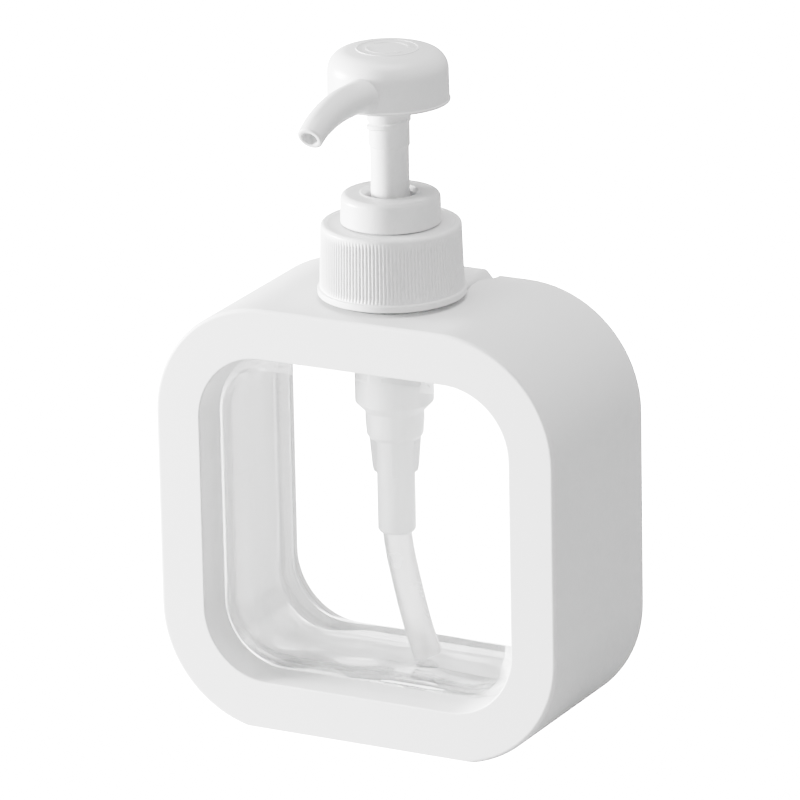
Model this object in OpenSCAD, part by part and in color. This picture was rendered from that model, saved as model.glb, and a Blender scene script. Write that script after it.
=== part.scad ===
// Soap pump dispenser: a clear bottle framed by a white casing, with a screw-down lotion pump.
// Millimetres, +Z up. The origin is the centre of the casing's flat base.
// -Y is the front, where the spout points, and +Y is the rear, where the cover pulls off.

/* [Casing] */
// Width of the casing at its rear edge
casing_w = 100.5; // [98:0.5:110]
// Height of the casing at its rear edge
casing_h = 100; // [99.5:0.1:104]
// Depth of the casing, front to back
casing_d = 45.5; // [44:0.5:52]
// Radius of the four outer corners, seen from the front
corner_r = 27.85; // [26:0.05:29]
// How much smaller the front outline is than the rear one, all round
draft = 0.35; // [0:0.05:0.5]
// How far the round outline runs on below the flat base
base_cut = 1.2; // [1:0.1:2.5]
// Thickness of the outer walls
wall = 2.4; // [2.2:0.1:2.6]
// Rounding of the front outer edge
front_edge_r = 0.9; // [0.5:0.1:1.5]
// Rounding of the rear outer edge
rear_edge_r = 1.6; // [0.8:0.1:1.7]

/* [Window] */
// Width of the window
window_w = 77.4; // [77.2:0.1:79]
// Height of the window
window_h = 76.75; // [76.5:0.05:78]
// Height of the window's lower edge above the base
sill_z = 11.2; // [10.5:0.05:11.3]
// Corner radius of the window
window_r = 15.9; // [15.6:0.1:16.2]
// Thickness of the window's lining wall
lining = 1.8; // [1.4:0.1:2]

/* [Neck slot] */
// Radius of the slot's round front end
slot_r = 13.8; // [13.6:0.1:14.5]
// Half-width of the throat that the neck clicks past
throat_half = 12.6; // [12.6:0.1:13]
// Half-width of the flare at the rear face
flare_half = 16; // [15:0.1:17]
// Half-width where the flare eases, half way to the rear face
mid_flare_half = 14.9; // [14.5:0.1:15.5]
// Thickness of the pocket wall round the slot
pocket_wall = 1.6; // [1.2:0.1:1.8]

/* [Rear cover] */
// Thickness of the cover plate
cover_t = 2; // [1.6:0.1:2.4]
// Gap between the cover and the casing round its edge
cover_gap = 0.15; // [0.1:0.05:0.3]
// Gap between the tongue and the sides of the slot
slot_gap = 0.3; // [0.2:0.05:0.5]
// Height of the tongue's raised top
tongue_z = 100.8; // [100.2:0.1:100.9]
// Half-width of the tongue's flat top
tongue_half = 11.3; // [10:0.1:12]
// Radius of the cover's four push-in pegs
peg_r = 1.2; // [1:0.05:1.3]

/* [Bottle] */
// Width of the bottle body
bottle_w = 76.5; // [75:0.1:76.6]
// Height of the bottle body
bottle_h = 75.8; // [74:0.1:75.9]
// Depth of the bottle body
bottle_d = 30; // [29:0.5:31]
// Corner radius of the bottle body, seen from the front
bottle_r = 15.5; // [15:0.1:16]
// Rounding of the body's front and rear edges
bottle_edge_r = 4; // [3:0.5:5]
// Side wall thickness
bottle_wall = 1.3; // [1.2:0.1:2]
// Thickness of the base
bottle_base = 2; // [1.5:0.1:3]
// Root radius of the neck, under its thread
neck_r = 12.4; // [12:0.1:12.5]
// Bore radius of the neck
neck_bore_r = 10.9; // [10:0.1:11]
// Radius of the neck's support ring, which rests above the casing
ring_r = 14.6; // [14.2:0.1:15.5]
// Lead of the neck's thread: six turns to the inch
thread_lead = 4.233; // [4:0.001:4.5]

/* [Pump] */
// Distance of the pump's axis in front of the casing's centre
axis_front = 1.85; // [1:0.05:2.5]
// Outer radius of the closure at its lower rim
closure_r = 16.75; // [16.5:0.05:17.2]
// Outer radius of the closure at its top edge
closure_top_r = 15.8; // [15.5:0.05:16.4]
// Outer radius of the lock ring
lock_ring_r = 11.3; // [10.5:0.1:12]
// Outer radius of the stem
stem_r = 4.35; // [4.2:0.05:4.45]
// Outer radius of the stem's upper part, which carries the lock thread
upper_stem_r = 4.6; // [4.5:0.05:4.7]
// Outer radius of the pump head's rim
head_r = 13.8; // [12:0.1:15]
// Height of the pump head's crown above the base
head_top_z = 157.3; // [157:0.1:158]
// Outer radius of the housing's chamber
chamber_r = 8.9; // [8.8:0.05:9]
// Outer radius of the dip tube
tube_r = 3.3; // [3:0.05:3.35]
// Bore radius of the dip tube
tube_bore_r = 2.4; // [2:0.1:2.6]

/* [Hidden] */
$fn = 96;
eps = 0.01;
y_front = -casing_d / 2;
y_rear = casing_d / 2;
axis_y = -axis_front;
seat_y = y_rear - 0.2 - cover_t;      // where the cover plate lies against the window's lining
window_top = sill_z + window_h;
neck_back_y = axis_y + neck_r;
outline_h = casing_h + base_cut;
peg_x = 37.85;                        // pegs sit in the channel behind the four corners
peg_top_z = 87.4;
peg_bottom_z = 11.6;
boss_r = 2.2;
rim_t = 1.1;                          // the cover's rim passes outside the peg bosses
bottle_z = sill_z + 0.35;
bottle_top = bottle_z + bottle_h;
ring_z = casing_h + 0.15;             // the neck's support ring hangs just above the casing
ring_t = 0.6;
neck_top = 113.6;
thread_z = 105;
thread_crest = 1.2;
closure_z = 100.95;
closure_top = 117.3;
closure_bore = 14;
flange_z = 114.65;
lock_z = closure_top + 0.15;
lock_top = 124.1;
lock_bore = 5.7;                      // the stem's lock thread passes down through this bore
step_z = 134.9;                       // height of the step up to the stem's upper part
boss_z = 143.9;                       // underside of the head's boss
head_z = 145.2;
socket_z = 147;                       // end of the head's socket
fit = 0.05;                           // running clearance of a sliding or turning fit
collar_r = 4.9;                       // the stem's collar, under the head's boss
collar_z = 140.5;
lock_thread_z = 138.65;               // low end of the stem's lock thread
lock_thread_turn = 150;               // where that end lies, in degrees round the stem
lock_lead = 4.2;
tube_top = 55;
spring_seat = 67.6;                   // ledge in the housing under the return spring
spring_top = 98.3;                    // flange of the valve plug above it
ball_r = 2.75;
ball_z = 59.85;                       // the ball rests in the cone above the tube's socket
// Route of the dip tube from its socket to the bottom corner: [x, z]
TUBE_ROUTE = [[0, tube_top], [0, 50], [0, 44.8], [0.7, 39.5], [1.9, 34], [3.35, 28], [4.85, 22.6],
              [6.4, 17.9], [7.3, 15.4]];
// Centre line of the spout from the head's chamber to the tip: [y, z, outer radius]
SPOUT_ROUTE = [[-6, 148.7, 3.8], [-12, 149.3, 3.75], [-18, 149.7, 3.6], [-24, 149.8, 3.5],
               [-29, 149.4, 3.35], [-33, 148.55, 3.2], [-36.4, 147.4, 3.05], [-39.1, 145.9, 2.95]];
spout_bore_r = 1.8;

// ---- Curves and sweeps ----

// One point of a Catmull-Rom curve through the points P, at t from 0 to len(P) - 1
function curve(P, t) =
  let (n = len(P) - 1, i = min(floor(t), n - 1), u = t - i,
       a = P[max(i - 1, 0)], b = P[i], c = P[i + 1], d = P[min(i + 2, n)])
  0.5 * (2 * b + (c - a) * u + (2 * a - 5 * b + 4 * c - d) * u * u
         + (3 * b - a - 3 * c + d) * u * u * u);

function smooth_route(P, per) = [for (i = [0 : (len(P) - 1) * per]) curve(P, i / per)];

// Direction along a list of points at index i
function along(P, i) =
  let (v = P[min(i + 1, len(P) - 1)] - P[max(i - 1, 0)]) v / norm(v);

// Rings of a tube that bends in one plane: C are [u, w] centres, R the radii
function plane_rings(C, R, sides) =
  [for (i = [0 : len(C) - 1], j = [0 : sides - 1])
     let (d = along(C, i), a = -360 * j / sides, n = [-d[1], d[0]] * cos(a) * R[i])
     [C[i][0] + n[0], C[i][1] + n[1], sin(a) * R[i]]];

// A solid swept tube in the X-Y plane
module swept_bar(C, R, sides) {
  rings = len(C);
  walls = [for (i = [0 : rings - 2], j = [0 : sides - 1])
             [i * sides + j, i * sides + (j + 1) % sides,
              (i + 1) * sides + (j + 1) % sides, (i + 1) * sides + j]];
  first = [for (j = [sides - 1 : -1 : 0]) j];
  last = [for (j = [0 : sides - 1]) (rings - 1) * sides + j];
  polyhedron(plane_rings(C, R, sides), concat([first], walls, [last]), convexity = 4);
}

// A hollow swept tube in the X-Y plane, as one closed surface
module swept_tube(C, r_out, r_in, sides) {
  rings = len(C);
  out = plane_rings(C, [for (c = C) r_out], sides);
  bore = plane_rings(C, [for (c = C) r_in], sides);
  m = rings * sides;
  outside = [for (i = [0 : rings - 2], j = [0 : sides - 1])
               [i * sides + j, i * sides + (j + 1) % sides,
                (i + 1) * sides + (j + 1) % sides, (i + 1) * sides + j]];
  inside = [for (i = [0 : rings - 2], j = [0 : sides - 1])
              [m + i * sides + j, m + (i + 1) * sides + j,
               m + (i + 1) * sides + (j + 1) % sides, m + i * sides + (j + 1) % sides]];
  start = [for (j = [0 : sides - 1]) [j, m + j, m + (j + 1) % sides, (j + 1) % sides]];
  k = (rings - 1) * sides;
  end = [for (j = [0 : sides - 1])
           [k + j, k + (j + 1) % sides, m + k + (j + 1) % sides, m + k + j]];
  polyhedron(concat(out, bore), concat(outside, inside, start, end), convexity = 6);
}

// A helical ridge of trapezoid section; its ends taper into the wall
module helix_ridge(root_r, crest_r, lead, turns, root_w, crest_w) {
  steps = round(turns * 30);
  points = [for (i = [0 : steps])
              let (a = 360 * turns * i / steps, z = lead * turns * i / steps,
                   k = min(1, i / 5, (steps - i) / 5), r = root_r + (crest_r - root_r) * (0.3 + 0.7 * k))
              for (q = [[root_r, -root_w / 2], [r, -crest_w / 2], [r, crest_w / 2], [root_r, root_w / 2]])
                [q[0] * cos(a), q[0] * sin(a), z + q[1]]];
  turn = crest_r > root_r ? [3, 2, 1, 0] : [0, 1, 2, 3];
  walls = [for (i = [0 : steps - 1], j = [0 : 3])
             let (a = turn[j], b = turn[(j + 1) % 4])
             [4 * i + a, 4 * (i + 1) + a, 4 * (i + 1) + b, 4 * i + b]];
  first = [for (j = [0 : 3]) turn[j]];
  last = [for (j = [3 : -1 : 0]) 4 * steps + turn[j]];
  polyhedron(points, concat([first], walls, [last]), convexity = 8);
}

// ---- Rounded slabs ----

// Depth section of a slab: width w behind and 2 * taper less in front, from y0 to y1, with
// edges rounded f0 in front and f1 behind
module edge_section(w, y0, y1, f0, f1, taper) {
  front = w / 2 - taper;
  rear = w / 2;
  polygon([[-front + f0, y0], [front - f0, y0], [front, y0 + f0], [rear, y1 - f1], [rear - f1, y1],
           [-rear + f1, y1], [-rear, y1 - f1], [-front, y0 + f0]]);
  for (side = [-1, 1]) {
    translate([side * (front - f0), y0 + f0]) circle(f0, $fn = 48);
    translate([side * (rear - f1), y1 - f1]) circle(f1, $fn = 48);
  }
}

// A slab with round corners seen from the front and rounded front and rear edges, z from 0 to h
module soft_slab(w, h, r, y0, y1, f0, f1, taper = 0) {
  for (x = [-1, 1], z = [r, h - r])
    translate([x * (w / 2 - r), 0, z]) rotate([-90, 0, 0]) rotate_extrude() intersection() {
      edge_section(2 * r, y0, y1, f0, f1, taper);
      translate([0, y0 - 1]) square([r + 1, y1 - y0 + 2]);
    }
  translate([0, 0, h / 2]) rotate([0, -90, 0]) linear_extrude(w - 2 * r, center = true)
    edge_section(h, y0, y1, f0, f1, taper);
  translate([0, 0, r]) linear_extrude(h - 2 * r) edge_section(w, y0, y1, f0, f1, taper);
}

// Rounded rectangle, x from -w/2 to w/2 and y from 0 to h
module round_rect(w, h, r) {
  translate([-w / 2, r]) square([w, h - 2 * r]);
  translate([-w / 2 + r, 0]) square([w - 2 * r, h]);
  for (x = [-1, 1], y = [r, h - r]) translate([x * (w / 2 - r), y]) circle(r);
}

// Stands a front-view outline up and gives it depth from y0 to y1
module from_front(y0, y1) {
  translate([0, y1, 0]) rotate([90, 0, 0]) linear_extrude(y1 - y0) children();
}

// ---- Casing ----

module window_outline(grow) {
  translate([0, sill_z - grow]) round_rect(window_w + 2 * grow, window_h + 2 * grow, window_r + grow);
}

// Outline of the casing drawn in by a distance, cut flat along the base
module casing_outline(inset) {
  intersection() {
    translate([0, inset - base_cut])
      round_rect(casing_w - 2 * inset, outline_h - 2 * inset, corner_r - inset);
    translate([-casing_w, inset]) square([2 * casing_w, casing_h]);
  }
}

// Plan of the slot that the neck slides into, open to the rear, grown or drawn in by a distance
module slot_plan(grow, y_end) {
  translate([0, axis_y]) circle(slot_r + grow);
  half = slot_r + grow;
  throat = throat_half + grow;
  flare = flare_half + grow;
  lead_in = mid_flare_half + grow;
  polygon([[-half, axis_y], [-half, 7.25], [-throat, 12.5], [-throat, 16], [-lead_in, 19.4],
           [-flare, y_end], [flare, y_end], [lead_in, 19.4], [throat, 16], [throat, 12.5],
           [half, 7.25], [half, axis_y]]);
}

module front_shell() {
  color("white") difference() {
    union() {
      difference() {
        translate([0, 0, -base_cut])
          soft_slab(casing_w, outline_h, corner_r, y_front, y_rear, front_edge_r, rear_edge_r, draft);
        from_front(y_front + wall, y_rear + 1) casing_outline(wall);
      }
      from_front(y_front + wall / 2, seat_y) window_outline(lining);
      intersection() {
        translate([0, 0, window_top]) linear_extrude(casing_h - wall / 2 - window_top)
          slot_plan(pocket_wall, y_rear);
        from_front(y_front + wall / 2, seat_y) casing_outline(wall / 2);
      }
      for (x = [-peg_x, peg_x], z = [peg_bottom_z, peg_top_z])
        translate([x, seat_y - 1, z]) rotate([90, 0, 0]) cylinder(h = seat_y - y_front - 2, r = boss_r);
    }
    from_front(y_front - 1, y_rear + 1) window_outline(0);
    translate([-casing_w, y_front - 1, -10]) cube([2 * casing_w, casing_d + 2, 10]);
    translate([0, 0, window_top - 10]) linear_extrude(casing_h - window_top + 20)
      slot_plan(0, y_rear + 1);
    for (x = [-peg_x, peg_x], z = [peg_bottom_z, peg_top_z])
      translate([x, seat_y, z]) rotate([90, 0, 0]) cylinder(h = 8, r = peg_r + fit);
  }
}

// ---- Rear cover ----

// Cross-section of the tongue: its shoulders slope down to the casing's top
module tongue_section() {
  shoulder = tongue_half + 2;
  polygon([[-20, window_top + 0.1], [-20, tongue_z - 2.3], [-shoulder, tongue_z - 2.3],
           [-tongue_half, tongue_z], [tongue_half, tongue_z], [shoulder, tongue_z - 2.3],
           [20, tongue_z - 2.3], [20, window_top + 0.1]]);
}

// Plan of the tongue, which fills the slot behind the neck
module tongue_plan(end_y) {
  low = throat_half - slot_gap;
  mid = mid_flare_half - slot_gap;
  flare = flare_half - slot_gap - 0.3;
  difference() {
    polygon([[-low, neck_back_y - 1.5], [-low, 16.2], [-mid, 19.6], [-flare, end_y], [flare, end_y],
             [mid, 19.6], [low, 16.2], [low, neck_back_y - 1.5]]);
    translate([0, axis_y]) circle(neck_r + 0.4);
  }
}

module tongue() {
  end_y = y_rear - 0.2;
  difference() {
    intersection() {
      translate([0, 0, window_top]) linear_extrude(tongue_z - window_top + 1) tongue_plan(end_y);
      from_front(0, end_y) tongue_section();
    }
    translate([0, axis_y, casing_h - 0.3]) cylinder(h = 5, r = ring_r + 0.4);
    translate([-9.5, 14, window_top - 1]) cube([19, seat_y - 14 + cover_t / 4, 10.5]);
  }
}

module rear_cover() {
  edge = wall + cover_gap;
  color("white") {
    difference() {
      union() {
        from_front(seat_y + eps, seat_y + cover_t) casing_outline(edge);
        from_front(seat_y - 3, seat_y + cover_t / 2) difference() {
          casing_outline(edge);
          casing_outline(edge + rim_t);
        }
        for (x = [-peg_x, peg_x], z = [peg_bottom_z, peg_top_z])
          translate([x, seat_y + cover_t / 2, z]) rotate([90, 0, 0]) cylinder(h = 7, r = peg_r);
      }
      from_front(seat_y - 10, y_rear + 1) window_outline(0);
      translate([-19.5, seat_y - 10, casing_h - 12]) cube([39, 10, 20]);
    }
    tongue();
  }
}

// ---- Bottle ----

module bottle() {
  inner_w = bottle_w - 2 * bottle_wall;
  inner_h = bottle_h - bottle_base - bottle_wall - 0.4;
  inner_r = bottle_r - bottle_wall;
  y0 = axis_y - bottle_d / 2;
  y1 = axis_y + bottle_d / 2;
  color("lightcyan", 0.35) difference() {
    union() {
      translate([0, 0, bottle_z])
        soft_slab(bottle_w, bottle_h, bottle_r, y0, y1, bottle_edge_r, bottle_edge_r);
      translate([0, axis_y, bottle_top - 2]) cylinder(h = neck_top - bottle_top + 2, r = neck_r);
      translate([0, axis_y, ring_z]) cylinder(h = ring_t, r = ring_r);
      translate([0, axis_y, thread_z])
        helix_ridge(neck_r - 0.5, neck_r + thread_crest, thread_lead, 1.3, 2.2, 0.9);
    }
    translate([0, 0, bottle_z + bottle_base])
      soft_slab(inner_w, inner_h, inner_r, y0 + bottle_wall, y1 - bottle_wall,
                bottle_edge_r - 1.5, bottle_edge_r - 1.5);
    translate([0, axis_y, bottle_top - 10]) cylinder(h = 60, r = neck_bore_r);
  }
}

// ---- Pump ----

module around_axis() {
  translate([0, axis_y, 0]) children();
}

module closure() {
  color("white") around_axis() {
    rotate_extrude() polygon([
      [closure_bore, closure_z], [closure_r - 0.3, closure_z], [closure_r, closure_z + 0.3],
      [closure_r, closure_z + 1.4], [closure_r - 0.5, closure_z + 1.55],
      [closure_top_r, closure_top - 0.8], [closure_top_r - 0.25, closure_top - 0.2],
      [closure_top_r - 0.8, closure_top], [9.7, closure_top], [9.7, closure_top - 1.5],
      [closure_bore, closure_top - 1.5]]);
    translate([0, 0, thread_z - thread_lead / 2])
      helix_ridge(closure_bore + 0.5, neck_r + 0.35, thread_lead, 1.2, 1.8, 0.7);
  }
}

module gasket() {
  color("gainsboro") around_axis() rotate_extrude() polygon([
    [neck_bore_r + 0.1, neck_top + 0.03], [13.3, neck_top + 0.03], [13.3, flange_z - 0.02],
    [neck_bore_r + 0.1, flange_z - 0.02]]);
}

module housing() {
  bore = chamber_r - 1;
  color("whitesmoke") around_axis() {
    difference() {
      union() {
        rotate_extrude() polygon([
          [0, 44.6], [3.95, 44.6], [4.32, 45.2], [4.32, 66.9], [5.75, 66.9], [6.3, 67.7], [6.66, 70.8],
          [6.66, 73.3], [chamber_r, 75.6], [chamber_r, flange_z],
          [13.3, flange_z], [13.3, flange_z + 1.1], [9.4, flange_z + 1.1], [9.4, 119.5], [0, 119.5]]);
        for (a = [25 : 90 : 295]) rotate([90, 0, a]) linear_extrude(1.2, center = true)
          polygon([[0, 68], [5.9, 68], [5.75, 66], [5.25, 60], [4.95, 58.9], [4.3, 58.4], [0, 58.4]]);
      }
      rotate_extrude() polygon([
        [0, 40], [tube_r + 0.02, 40], [tube_r + 0.02, tube_top + 0.2], [1.6, tube_top + 0.2],
        [1.6, 57.2], [3.35, 59.8], [3.35, spring_seat], [5.35, spring_seat],
        [5.7, spring_seat + 1.2], [5.7, 73.6], [bore, 75.9], [bore, 125], [0, 125]]);
    }
  }
}

module lock_ring() {
  color("white") around_axis() rotate_extrude() polygon([
    [stem_r + fit, 113.2], [7.85, 113.2], [7.85, 119.7], [9.45, 119.7], [9.45, lock_z],
    [lock_ring_r, lock_z], [lock_ring_r, lock_top - 1.2], [lock_ring_r - 0.1, lock_top - 0.7],
    [lock_ring_r - 0.4, lock_top - 0.3], [lock_ring_r - 0.8, lock_top - 0.08],
    [lock_ring_r - 1.3, lock_top], [lock_bore + 0.6, lock_top], [lock_bore, lock_top - 0.6],
    [lock_bore, 116.6], [stem_r + fit, 116.6]]);
}

module dip_tube() {
  route = smooth_route(TUBE_ROUTE, 2);
  color("gainsboro") around_axis() rotate([90, 0, 0]) swept_tube(route, tube_r, tube_bore_r, 24);
}

// Tube with a stouter upper part, whose short thread screws down into the lock ring
module stem() {
  color("white") around_axis() {
    rotate_extrude() polygon([
      [2.6, 105.2], [stem_r, 105.2], [stem_r, step_z], [upper_stem_r, step_z + 0.25],
      [upper_stem_r, collar_z], [collar_r, collar_z + 0.3], [collar_r, boss_z - 0.2],
      [upper_stem_r, boss_z - 0.2], [upper_stem_r, socket_z - 0.1], [2.6, socket_z - 0.1]]);
    translate([0, 0, lock_thread_z]) rotate([0, 0, lock_thread_turn])
      helix_ridge(upper_stem_r - 0.3, upper_stem_r + 0.85, lock_lead, 0.65, 1.8, 0.9);
  }
}

// Domed cap with a boss and socket for the stem below and a curved spout in front
module head() {
  route = smooth_route([for (p = SPOUT_ROUTE) [p[0], p[1]]], 3);
  radii = [for (p = smooth_route(SPOUT_ROUTE, 3)) p[2]];
  color("white") difference() {
    union() {
      around_axis() rotate_extrude() polygon([
        [0, boss_z], [5.1, boss_z], [5.4, boss_z + 0.3], [5.4, head_z + 6.6], [head_r - 1.9, head_z + 6.6],
        [head_r - 1.7, head_z + 0.3], [head_r - 0.3, head_z], [head_r, head_z + 0.2],
        [head_r, head_z + 0.55], [head_r - 0.2, head_z + 0.75], [head_r - 0.25, head_z + 6.4],
        [head_r - 0.65, head_z + 8.5], [head_r - 1.55, head_z + 10.05], [head_r - 2.95, head_z + 11.1],
        [head_r - 4.9, head_z + 11.72], [7.2, head_top_z - 0.12], [7.1, head_top_z + 0.1],
        [6.6, head_top_z + 0.1], [6.5, head_top_z - 0.06], [0, head_top_z]]);
      rotate([90, 0, 90]) swept_bar(route, radii, 24);
    }
    rotate([90, 0, 90]) swept_bar(
      concat([[axis_y, 148.5]], route, [curve(route, len(route) - 1) + 2 * along(route, len(route) - 1)]),
      [for (i = [0 : len(route) + 1]) spout_bore_r], 16);
    around_axis() translate([0, 0, boss_z - 1]) cylinder(h = socket_z - boss_z + 1, r = upper_stem_r + 0.02);
    around_axis() translate([0, 0, socket_z - 1]) cylinder(h = 3.6, r = 2.6);
  }
}

module piston() {
  color("whitesmoke") around_axis() rotate_extrude() polygon([
    [3.35, 101.2], [5.4, 101.2], [6.2, 100.6], [7.3, 99.4], [7.85, 99.2], [7.85, 100.4],
    [7.3, 102], [7.3, 106.6], [7.85, 108.2], [7.85, 109.2], [7.3, 109.2], [6.2, 107.4], [6, 104],
    [3.35, 104]]);
}

// Valve plug pushed up into the stem; liquid passes along its four grooves
module valve_core() {
  color("white") around_axis() difference() {
    rotate_extrude() polygon([
      [0, 92], [3.6, 92], [3.9, 92.6], [3.9, spring_top], [5.6, spring_top], [5.6, 99.6],
      [4, 101.1], [2.95, 101.1], [2.95, 105.1], [2.55, 105.15], [2.55, 113], [2.2, 113.6],
      [0, 113.6]]);
    for (a = [0 : 90 : 270]) rotate([0, 0, a]) translate([1.7, -0.6, 101.2]) cube([2, 1.2, 14]);
  }
}

// Compression spring between the housing's ledge and the valve plug's flange
module spring() {
  coil_r = 4.85;
  wire_r = 0.42;
  z0 = spring_seat + wire_r + 0.02;
  z1 = spring_top - wire_r - 0.02;
  coils = 9;
  per = 20;
  sides = 8;
  steps = coils * per;
  slope = atan((z1 - z0) / (coils * 2 * PI * coil_r));
  points = [for (i = [0 : steps], j = [0 : sides - 1])
              let (a = 360 * i / per, b = 360 * j / sides, r = coil_r + wire_r * cos(b),
                   lift = wire_r * sin(b))
              [r * cos(a) + lift * sin(slope) * sin(a), r * sin(a) - lift * sin(slope) * cos(a),
               z0 + (z1 - z0) * i / steps + lift * cos(slope)]];
  walls = [for (i = [0 : steps - 1], j = [0 : sides - 1])
             [i * sides + j, i * sides + (j + 1) % sides,
              (i + 1) * sides + (j + 1) % sides, (i + 1) * sides + j]];
  first = [for (j = [sides - 1 : -1 : 0]) j];
  last = [for (j = [0 : sides - 1]) steps * sides + j];
  color("silver") around_axis() polyhedron(points, concat([first], walls, [last]), convexity = 10);
}

module inlet_ball() {
  color("silver") around_axis() translate([0, 0, ball_z]) sphere(ball_r);
}

front_shell();
rear_cover();
bottle();
closure();
gasket();
housing();
lock_ring();
dip_tube();
stem();
head();
piston();
valve_core();
spring();
inlet_ball();
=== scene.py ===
"""Looks of the soap pump dispenser: a clear bottle framed by a white casing, with a lotion pump.

Lengths are millimetres until a mesh is made. The origin is the centre of the casing's flat base,
-Y is the front, where the spout points, and +Z is up.
"""
import math

import bmesh
import bpy
from mathutils import Matrix, Vector


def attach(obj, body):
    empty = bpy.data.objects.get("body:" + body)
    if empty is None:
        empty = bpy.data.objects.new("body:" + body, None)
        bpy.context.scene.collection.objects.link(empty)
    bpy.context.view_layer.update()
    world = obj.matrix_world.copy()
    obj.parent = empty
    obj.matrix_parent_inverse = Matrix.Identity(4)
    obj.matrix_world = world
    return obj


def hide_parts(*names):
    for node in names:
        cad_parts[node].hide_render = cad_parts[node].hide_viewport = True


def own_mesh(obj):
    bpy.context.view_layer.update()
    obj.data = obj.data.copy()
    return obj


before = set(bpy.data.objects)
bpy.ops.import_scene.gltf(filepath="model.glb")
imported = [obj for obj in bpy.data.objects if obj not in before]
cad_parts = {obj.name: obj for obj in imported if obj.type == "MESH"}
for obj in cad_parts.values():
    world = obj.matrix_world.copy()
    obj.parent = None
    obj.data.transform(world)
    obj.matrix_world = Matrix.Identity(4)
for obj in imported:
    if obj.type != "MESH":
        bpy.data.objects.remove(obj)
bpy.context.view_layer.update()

MM = 0.001
AXIS_Y = -1.85            # the pump's axis, which runs straight up through x = 0

# Casing
HALF_W, HEIGHT, HALF_D = 50.25, 100.0, 22.75
CORNER_R, BASE_CUT = 27.85, 1.2
DRAFT = 0.35              # how much smaller the front outline is, all round
WALL, FRONT_R, REAR_R = 2.4, 0.9, 1.6
BASE_SOFT = 0.2           # share of those roundings along the flat base
WIN_HALF, WIN_LOW, WIN_HIGH, WIN_R, WIN_EDGE = 38.7, 11.2, 87.95, 15.9, 0.35
LINING = 1.8
SEAT_Y = 20.55            # where the rear cover lies against the lining
COVER_T = 2.0
EDGE_GAP = 0.15
TONGUE_Z = 100.8

# Bottle
BOTTLE_HALF, BOTTLE_LOW, BOTTLE_HIGH, BOTTLE_R = 38.25, 11.55, 87.35, 15.5
BOTTLE_EDGE = 4.0
BOTTLE_FRONT, BOTTLE_REAR = AXIS_Y - 15.0, AXIS_Y + 15.0
BOTTLE_WALL, BOTTLE_FLOOR = 1.3, 2.0
BASE_THICK = 14.0         # up to this height the clear plastic is thick enough to bend light
NECK_R, NECK_BORE, NECK_TOP = 12.4, 10.9, 113.6
RING_R, RING_Z, RING_T = 14.6, 100.15, 0.6

# Pump
CLOSURE_R, CLOSURE_TOP_R, CLOSURE_Z, CLOSURE_TOP = 16.75, 15.8, 100.95, 117.3
FLANGE_Z, LOCK_Z, LOCK_TOP, LOCK_R, LOCK_BORE = 114.65, 117.45, 124.1, 11.3, 5.7
STEM_R, UPPER_STEM_R, STEP_Z, SOCKET_Z = 4.35, 4.6, 134.9, 147.0
CHAMBER_R = 8.9
SPRING_LOW, SPRING_HIGH, STROKE = 67.6, 98.3, 18.0
TUBE_R, TUBE_BORE = 3.3, 2.4
SPOUT = [(-6.0, 148.7, 3.8), (-12.0, 149.3, 3.75), (-18.0, 149.7, 3.6), (-24.0, 149.8, 3.5),
         (-29.0, 149.4, 3.35), (-33.0, 148.55, 3.2), (-36.4, 147.4, 3.05), (-39.1, 145.9, 2.95)]
TUBE = [(0.0, 55.0), (0.0, 50.0), (0.0, 44.8), (0.7, 39.5), (1.9, 34.0), (3.35, 28.0),
        (4.85, 22.6), (6.4, 17.9), (7.3, 15.4)]


# ---- Mesh building ----

class Shell:
    """Collects points and faces, in millimetres, and makes one object of them."""

    def __init__(self):
        self.points, self.faces = [], []

    def ring(self, points):
        start = len(self.points)
        self.points += [tuple(p) for p in points]
        return list(range(start, len(self.points)))

    def face(self, corners):
        kept = [c for i, c in enumerate(corners) if c != corners[i - 1]]
        if len(kept) > 2:
            self.faces.append(kept)

    def bridge(self, a, b, closed=True):
        n = len(a)
        for i in range(n if closed else n - 1):
            j = (i + 1) % n
            self.face([a[i], a[j], b[j], b[i]])

    def loft(self, rings, closed=False, caps=True):
        rows = [self.ring(r) for r in rings]
        for a, b in zip(rows, rows[1:]):
            self.bridge(a, b)
        if closed:
            self.bridge(rows[-1], rows[0])
        elif caps:
            self.face(rows[0][::-1])
            self.face(rows[-1])

    def make(self, name):
        mesh = bpy.data.meshes.new(name)
        mesh.from_pydata([[c * MM for c in p] for p in self.points], [], self.faces)
        tidy = bmesh.new()
        tidy.from_mesh(mesh)
        bmesh.ops.remove_doubles(tidy, verts=tidy.verts, dist=1e-7)
        bmesh.ops.recalc_face_normals(tidy, faces=tidy.faces)
        tidy.to_mesh(mesh)
        tidy.free()
        obj = bpy.data.objects.new(name, mesh)
        bpy.context.scene.collection.objects.link(obj)
        return obj


def settle(obj):
    """Applies the object's modifiers to its mesh."""
    graph = bpy.context.evaluated_depsgraph_get()
    mesh = bpy.data.meshes.new_from_object(obj.evaluated_get(graph))
    obj.modifiers.clear()
    obj.data = mesh


def combine(obj, tool, operation):
    """Adds the tool to the object, or cuts it away, and removes the tool."""
    change = obj.modifiers.new("change", "BOOLEAN")
    change.operation, change.object, change.solver = operation, tool, "EXACT"
    settle(obj)
    bpy.data.objects.remove(tool)


def merge(obj, *others):
    """Joins separate closed shells into one object without cutting them."""
    both = bmesh.new()
    for o in (obj, *others):
        both.from_mesh(o.data)
    both.to_mesh(obj.data)
    both.free()
    for o in others:
        bpy.data.objects.remove(o)


def bevel(obj, width, angle=35, segments=3):
    soft = obj.modifiers.new("soft", "BEVEL")
    soft.width, soft.segments = width * MM, segments
    soft.limit_method, soft.angle_limit = "ANGLE", math.radians(angle)
    settle(obj)


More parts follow.
